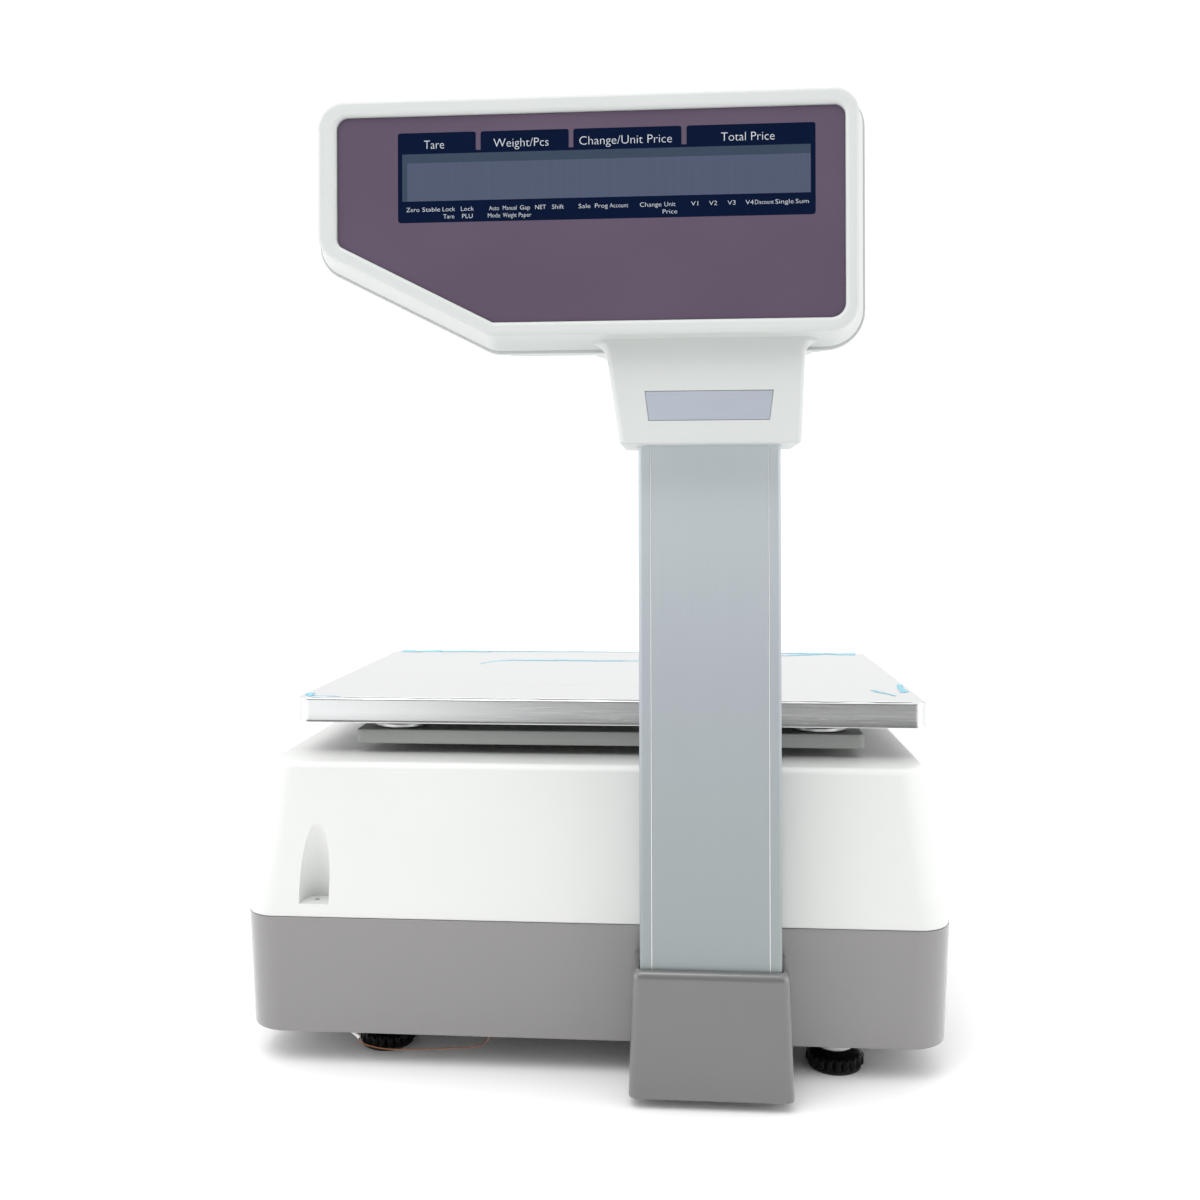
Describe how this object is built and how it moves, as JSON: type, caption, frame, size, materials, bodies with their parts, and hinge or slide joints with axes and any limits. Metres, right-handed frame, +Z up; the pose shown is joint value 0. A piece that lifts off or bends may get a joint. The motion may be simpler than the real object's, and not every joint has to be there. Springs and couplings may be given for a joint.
{
  "type": "label printing scale",
  "caption": "Counter scale with a stainless platter, keypad slope, built-in label printer behind a corner door, and a double-sided display on a column.",
  "frame": {"origin": "on the supporting surface, below the middle of the overall box, with the feet screwed fully in", "axes": "+Z up, -Y towards the customer and the pole display's customer side, +X to the right as the customer sees it"},
  "size_m": [0.386, 0.43, 0.5132],
  "materials": {
    "housing_white": "fine moulded texture",
    "housing_grey": "fine moulded texture",
    "boot_grey": "fine moulded texture",
    "fastener_steel": "zinc plated",
    "sheet_steel": "galvanised",
    "cast_aluminium": "as cast",
    "cell_aluminium": "machined",
    "tray_grey": "satin paint",
    "pad_rubber": "matt",
    "stainless": "fine brushed",
    "board_green": "solder mask",
    "board_tan": "bare laminate",
    "black_plastic": "moulded",
    "rocker_red": "moulded",
    "port_metal": "tin plated",
    "keypad_film": "embossed film",
    "platen_rubber": "ground rubber",
    "gear_nylon": "moulded",
    "pinion_brass": "machined",
    "motor_steel": "black",
    "print_head_alloy": "anodised",
    "lever_blue": "moulded",
    "roll_plastic": "moulded",
    "label_paper": "paper",
    "column_aluminium": "satin anodised",
    "window_tint": "tinted acrylic",
    "display_navy": "printed panel",
    "plate_silver": "satin",
    "cable_black": "PVC sheath",
    "vial_green": "acrylic",
    "seal_white": "moulded"
  },
  "bodies": {
    "root": {"base_housing": "housing_grey", "top_housing": "housing_white", "housing_screws": "fastener_steel", "chassis_plate": "sheet_steel", "load_cell_pedestal": "cast_aluminium", "load_cell": "cell_aluminium", "load_cell_bolts": "fastener_steel", "overload_stop": "fastener_steel", "main_board": "board_green", "power_board": "board_tan", "power_inlet": "black_plastic", "power_switch_body": "black_plastic", "data_ports": "port_metal", "keypad_panel": "keypad_film", "keypad_board": "board_green", "door_pin": "fastener_steel", "printer_frame": "sheet_steel", "feed_motor": "motor_steel", "column": "column_aluminium", "column_boot": "boot_grey", "column_insert": "cast_aluminium", "column_bolts": "fastener_steel", "head_front_shell": "housing_white", "head_rear_shell": "housing_white", "head_window_front": "window_tint", "head_window_rear": "window_tint", "display_front": "display_navy", "display_rear": "display_navy", "head_bracket": "sheet_steel", "head_screws": "fastener_steel", "name_plate": "plate_silver", "display_cable": "cable_black", "load_cell_cable": "cable_black", "level_cup": "black_plastic", "level_vial": "vial_green", "seal_tag": "seal_white"},
    "weigh_frame": {"tray_post": "cast_aluminium", "platter_support": "tray_grey", "platter_pads": "pad_rubber"},
    "platter": {"platter": "stainless"},
    "power_rocker": {"power_rocker": "rocker_red"},
    "printer_door": {"printer_door": "housing_white"},
    "platen": {"platen_roller": "platen_rubber", "platen_gear": "gear_nylon"},
    "idler_gear": {"idler_gear": "gear_nylon"},
    "motor_pinion": {"motor_pinion": "pinion_brass"},
    "print_head": {"print_head": "print_head_alloy"},
    "head_lever": {"head_lever": "lever_blue"},
    "roll_spindle": {"roll_spindle": "roll_plastic", "label_roll": "label_paper"},
    "roll_guide": {"roll_guide": "roll_plastic"},
    "liner_spool": {"liner_spool": "black_plastic"},
    "foot_sole_1": {"foot_sole_1": "pad_rubber"},
    "foot_knob_1": {"foot_knob_1": "black_plastic"},
    "foot_sole_2": {"foot_sole_2": "pad_rubber"},
    "foot_knob_2": {"foot_knob_2": "black_plastic"},
    "foot_sole_3": {"foot_sole_3": "pad_rubber"},
    "foot_knob_3": {"foot_knob_3": "black_plastic"},
    "foot_sole_4": {"foot_sole_4": "pad_rubber"},
    "foot_knob_4": {"foot_knob_4": "black_plastic"}
  },
  "joints": [
    {"name": "weigh_deflection", "type": "slide", "parent": "root", "child": "weigh_frame", "axis": [0, 0, -1], "range_m": [-0.0002, 0.001], "stiffness_N_per_m": 300000, "springref_m": -0.0001, "deforming": ["load_cell"]},
    {"name": "platter_lift", "type": "slide", "parent": "weigh_frame", "child": "platter", "axis": [0, 0, 1], "range_m": [0, 0.06]},
    {"name": "door_hinge", "type": "hinge", "parent": "root", "child": "printer_door", "pos_m": [-0.189, 0.155, 0.0887], "axis": [0, -1, 0], "range_deg": [0, 100]},
    {"name": "rocker_tilt", "type": "hinge", "parent": "root", "child": "power_rocker", "pos_m": [0.1882, -0.068, 0.048], "axis": [0, 1, 0], "range_deg": [0, 14]},
    {"name": "platen_turn", "type": "hinge", "parent": "root", "child": "platen", "pos_m": [-0.135, 0.19, 0.08], "axis": [1, 0, 0], "continuous": true},
    {"name": "idler_turn", "type": "hinge", "parent": "root", "child": "idler_gear", "pos_m": [-0.091, 0.18282, 0.06027], "axis": [1, 0, 0], "continuous": true},
    {"name": "pinion_turn", "type": "hinge", "parent": "root", "child": "motor_pinion", "pos_m": [-0.091, 0.16706, 0.05749], "axis": [1, 0, 0], "continuous": true},
    {"name": "lever_turn", "type": "hinge", "parent": "root", "child": "head_lever", "pos_m": [-0.1785, 0.174, 0.092], "axis": [-1, 0, 0], "range_deg": [0, 50]},
    {"name": "head_lift", "type": "hinge", "parent": "root", "child": "print_head", "pos_m": [-0.1355, 0.162, 0.098], "axis": [1, 0, 0], "range_deg": [0, 4.2]},
    {"name": "spindle_turn", "type": "hinge", "parent": "root", "child": "roll_spindle", "pos_m": [-0.1355, 0.122, 0.076], "axis": [1, 0, 0], "continuous": true},
    {"name": "guide_slide", "type": "slide", "parent": "roll_spindle", "child": "roll_guide", "axis": [-1, 0, 0], "range_m": [0, 0.01]},
    {"name": "spool_turn", "type": "hinge", "parent": "root", "child": "liner_spool", "pos_m": [-0.1355, 0.17, 0.05], "axis": [1, 0, 0], "continuous": true},
    {"name": "foot_height_1", "type": "slide", "parent": "root", "child": "foot_sole_1", "axis": [0, 0, -1], "range_m": [0, 0.006]},
    {"name": "knob_turn_1", "type": "hinge", "parent": "foot_sole_1", "child": "foot_knob_1", "pos_m": [-0.119, -0.122, 0.006], "axis": [0, 0, -1], "range_deg": [0, 1442]},
    {"name": "foot_height_2", "type": "slide", "parent": "root", "child": "foot_sole_2", "axis": [0, 0, -1], "range_m": [0, 0.006]},
    {"name": "knob_turn_2", "type": "hinge", "parent": "foot_sole_2", "child": "foot_knob_2", "pos_m": [0.1324, -0.134, 0.006], "axis": [0, 0, -1], "range_deg": [0, 1442]},
    {"name": "foot_height_3", "type": "slide", "parent": "root", "child": "foot_sole_3", "axis": [0, 0, -1], "range_m": [0, 0.006]},
    {"name": "knob_turn_3", "type": "hinge", "parent": "foot_sole_3", "child": "foot_knob_3", "pos_m": [0.1324, 0.186, 0.006], "axis": [0, 0, -1], "range_deg": [0, 1442]},
    {"name": "foot_height_4", "type": "slide", "parent": "root", "child": "foot_sole_4", "axis": [0, 0, -1], "range_m": [0, 0.006]},
    {"name": "knob_turn_4", "type": "hinge", "parent": "foot_sole_4", "child": "foot_knob_4", "pos_m": [-0.1324, 0.186, 0.006], "axis": [0, 0, -1], "range_deg": [0, 1442]}
  ],
  "couplings": [
    {"joint": "idler_turn", "follows": "platen_turn", "ratio": -1.1},
    {"joint": "pinion_turn", "follows": "platen_turn", "ratio": 1.8333},
    {"joint": "head_lift", "follows": "lever_turn", "ratio": 0.08},
    {"joint": "knob_turn_1", "follows": "foot_height_1", "rad_per_m": 4188.8},
    {"joint": "knob_turn_2", "follows": "foot_height_2", "rad_per_m": 4188.8},
    {"joint": "knob_turn_3", "follows": "foot_height_3", "rad_per_m": 4188.8},
    {"joint": "knob_turn_4", "follows": "foot_height_4", "rad_per_m": 4188.8}
  ]
}
